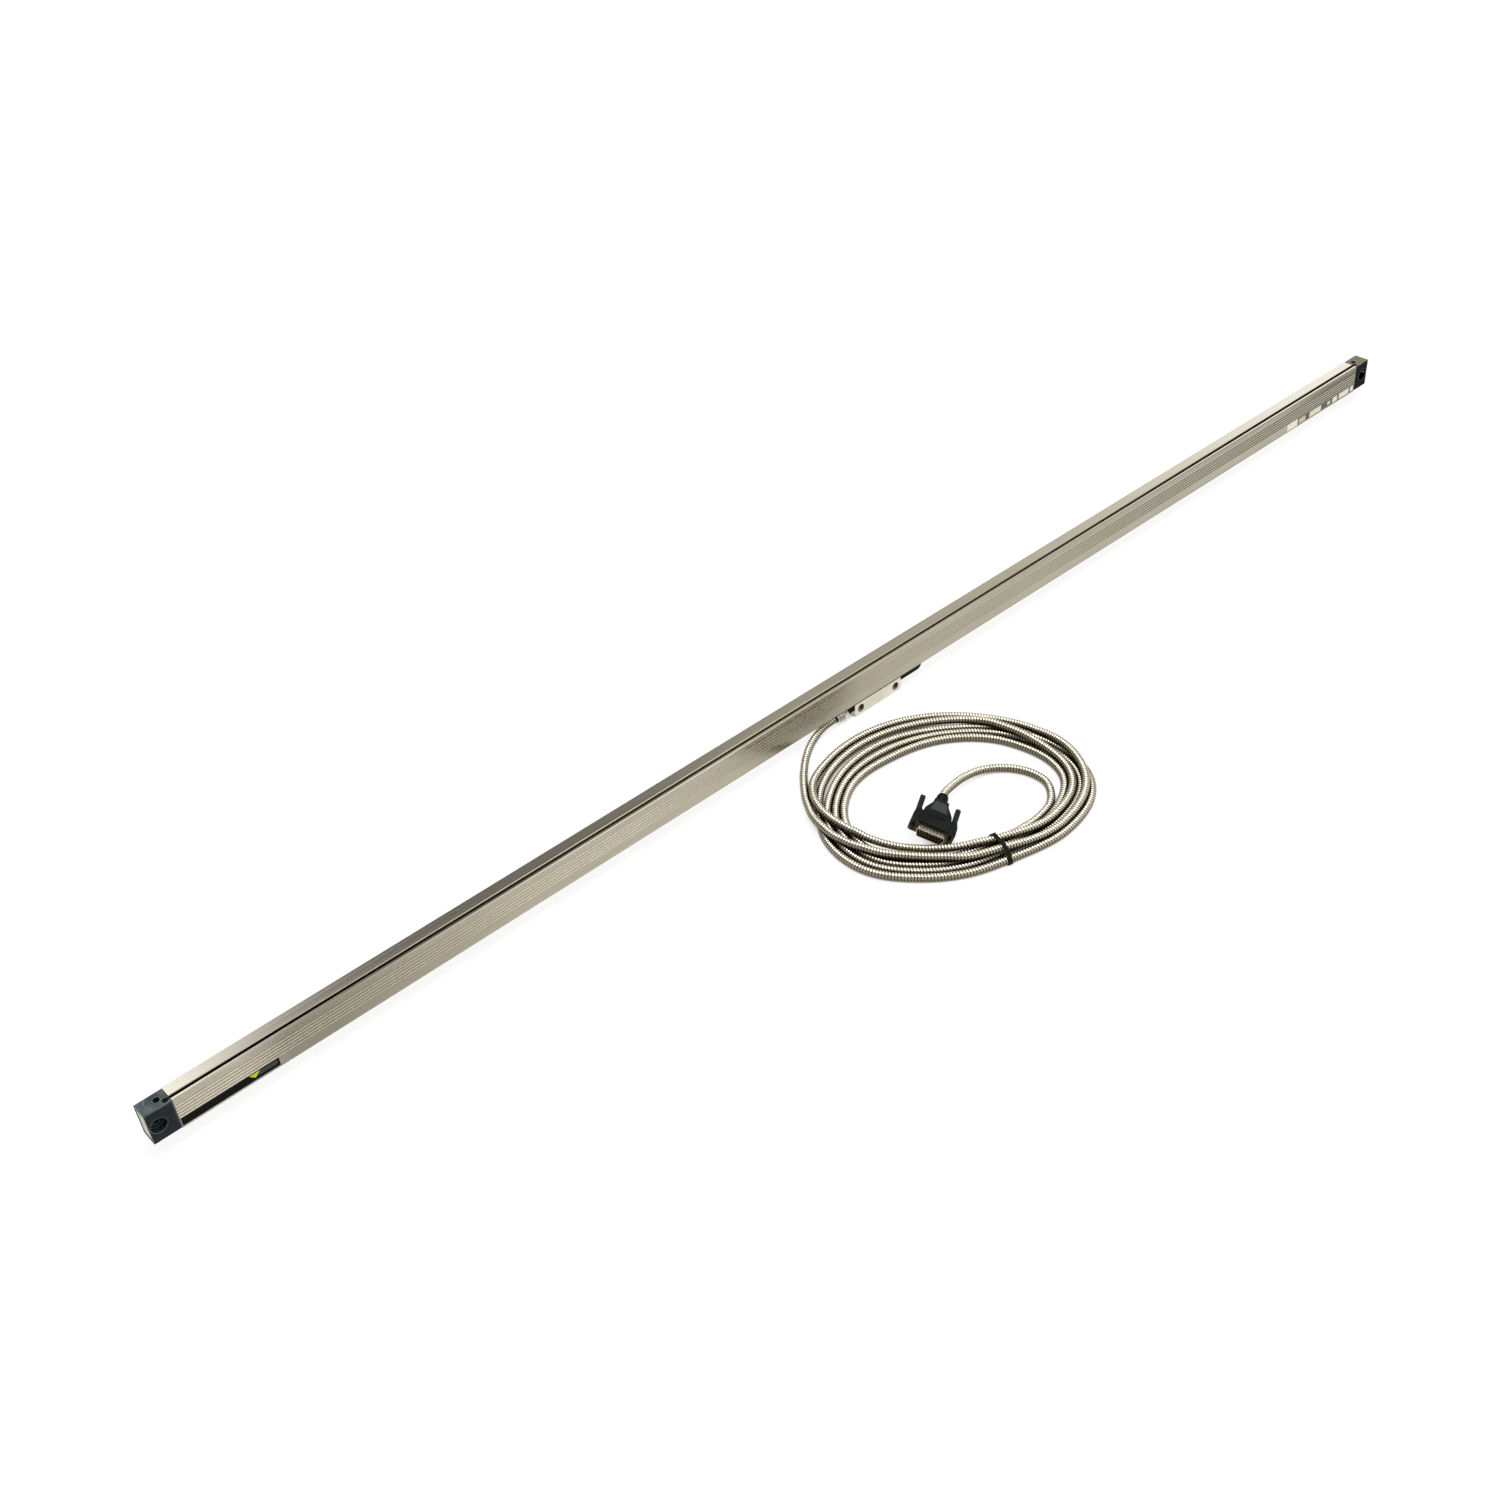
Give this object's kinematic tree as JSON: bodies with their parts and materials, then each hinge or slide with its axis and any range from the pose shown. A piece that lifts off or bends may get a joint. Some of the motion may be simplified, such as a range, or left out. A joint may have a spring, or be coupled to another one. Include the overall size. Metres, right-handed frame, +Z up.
{
  "type": "linear glass scale",
  "caption": "Slim sealed linear glass scale: ribbed aluminium housing with end blocks, a reading head that slides along its underside, and an armoured cable coiled to a D-shaped plug.",
  "frame": {"origin": "on the floor that the reading head stands on, under the middle of the housing", "axes": "+X along the scale, away from the cable side; -Y the front face with the two labels; +Z up"},
  "size_m": [1.56, 0.2803, 0.046],
  "materials": {
    "housing": "satin champagne anodised",
    "glass": "clear",
    "adhesive": "matt elastic adhesive",
    "rubber": "matt",
    "end_block": "satin dark grey",
    "end_plate": "satin cream",
    "screws": "plain",
    "black_screws": "blackened",
    "front_label": "satin film",
    "rating_label": "satin silver film",
    "head_block": "satin cast",
    "steel": "plain",
    "head_cover": "satin",
    "gland": "satin",
    "carriage": "matt black anodised",
    "electronics": "matt",
    "board": "solder mask",
    "roller": "ground",
    "cable_armour": "bright interlocked steel armour",
    "wound_cable": "bright interlocked steel armour",
    "cable_tie": "satin nylon",
    "plug_hood": "satin moulded",
    "plug_shell": "bright plated",
    "pins": "plated",
    "thumbscrew": "satin moulded"
  },
  "bodies": {
    "scale": {"housing": "housing", "glass_scale": "glass", "scale_bond": "adhesive", "lip_seal_front": "rubber", "lip_seal_rear": "rubber", "end_block_left": "end_block", "end_block_right": "end_block", "end_gasket_left": "rubber", "end_gasket_right": "rubber", "end_plate_left": "end_plate", "end_plate_right": "end_plate", "end_block_screws": "screws", "slot_stop_screws": "black_screws", "front_label": "front_label", "rating_label": "rating_label"},
    "head": {"head_block": "head_block", "head_blade": "steel", "blade_screws": "screws", "head_cover_left": "head_cover", "head_cover_right": "head_cover", "cable_gland": "gland", "gland_nut": "steel", "carriage": "carriage", "roller_pins": "steel", "coupling_wire": "steel", "reticle": "glass", "detector": "electronics", "sensor_board": "board", "light_board": "board", "cable_lead": "cable_armour", "cable_coil": "wound_cable", "cable_tail": "cable_armour", "cable_tie": "cable_tie", "plug_hood": "plug_hood", "plug_relief": "plug_hood", "plug_shell": "plug_shell", "plug_insulator": "electronics", "plug_pins": "pins"},
    "roller_1": {"roller_1": "roller"},
    "roller_2": {"roller_2": "roller"},
    "roller_3": {"roller_3": "roller"},
    "roller_4": {"roller_4": "roller"},
    "roller_5": {"roller_5": "roller"},
    "thumbscrew_left": {"thumbscrew_left": "thumbscrew"},
    "thumbscrew_right": {"thumbscrew_right": "thumbscrew"}
  },
  "joints": [
    {"name": "head_slide", "type": "slide", "parent": "scale", "child": "head", "axis": [1, 0, 0], "range_m": [-0.683, 0.717]},
    {"name": "roller_1_spin", "type": "hinge", "parent": "head", "child": "roller_1", "pos_m": [-0.053, -0.00015, 0.0317], "axis": [0, 0, 1], "continuous": true},
    {"name": "roller_2_spin", "type": "hinge", "parent": "head", "child": "roller_2", "pos_m": [0.019, -0.00015, 0.0317], "axis": [0, 0, 1], "continuous": true},
    {"name": "roller_3_spin", "type": "hinge", "parent": "head", "child": "roller_3", "pos_m": [0.007, -0.00015, 0.0363], "axis": [0, 0, 1], "continuous": true},
    {"name": "roller_4_spin", "type": "hinge", "parent": "head", "child": "roller_4", "pos_m": [-0.047, 0.003, 0.02695], "axis": [0, 1, 0], "continuous": true},
    {"name": "roller_5_spin", "type": "hinge", "parent": "head", "child": "roller_5", "pos_m": [0.013, 0.003, 0.02695], "axis": [0, 1, 0], "continuous": true},
    {"name": "thumbscrew_left_turn", "type": "hinge", "parent": "head", "child": "thumbscrew_left", "pos_m": [-0.13606, -0.17059, 0.01858], "axis": [0.8572, 0.515, 0], "continuous": true},
    {"name": "thumbscrew_right_turn", "type": "hinge", "parent": "head", "child": "thumbscrew_right", "pos_m": [-0.11994, -0.19741, 0.00719], "axis": [0.8572, 0.515, 0], "continuous": true}
  ],
  "couplings": [
    {"joint": "roller_1_spin", "follows": "head_slide", "rad_per_m": 500},
    {"joint": "roller_2_spin", "follows": "head_slide", "rad_per_m": 500},
    {"joint": "roller_3_spin", "follows": "head_slide", "rad_per_m": 500},
    {"joint": "roller_4_spin", "follows": "head_slide", "rad_per_m": -500},
    {"joint": "roller_5_spin", "follows": "head_slide", "rad_per_m": -500}
  ]
}
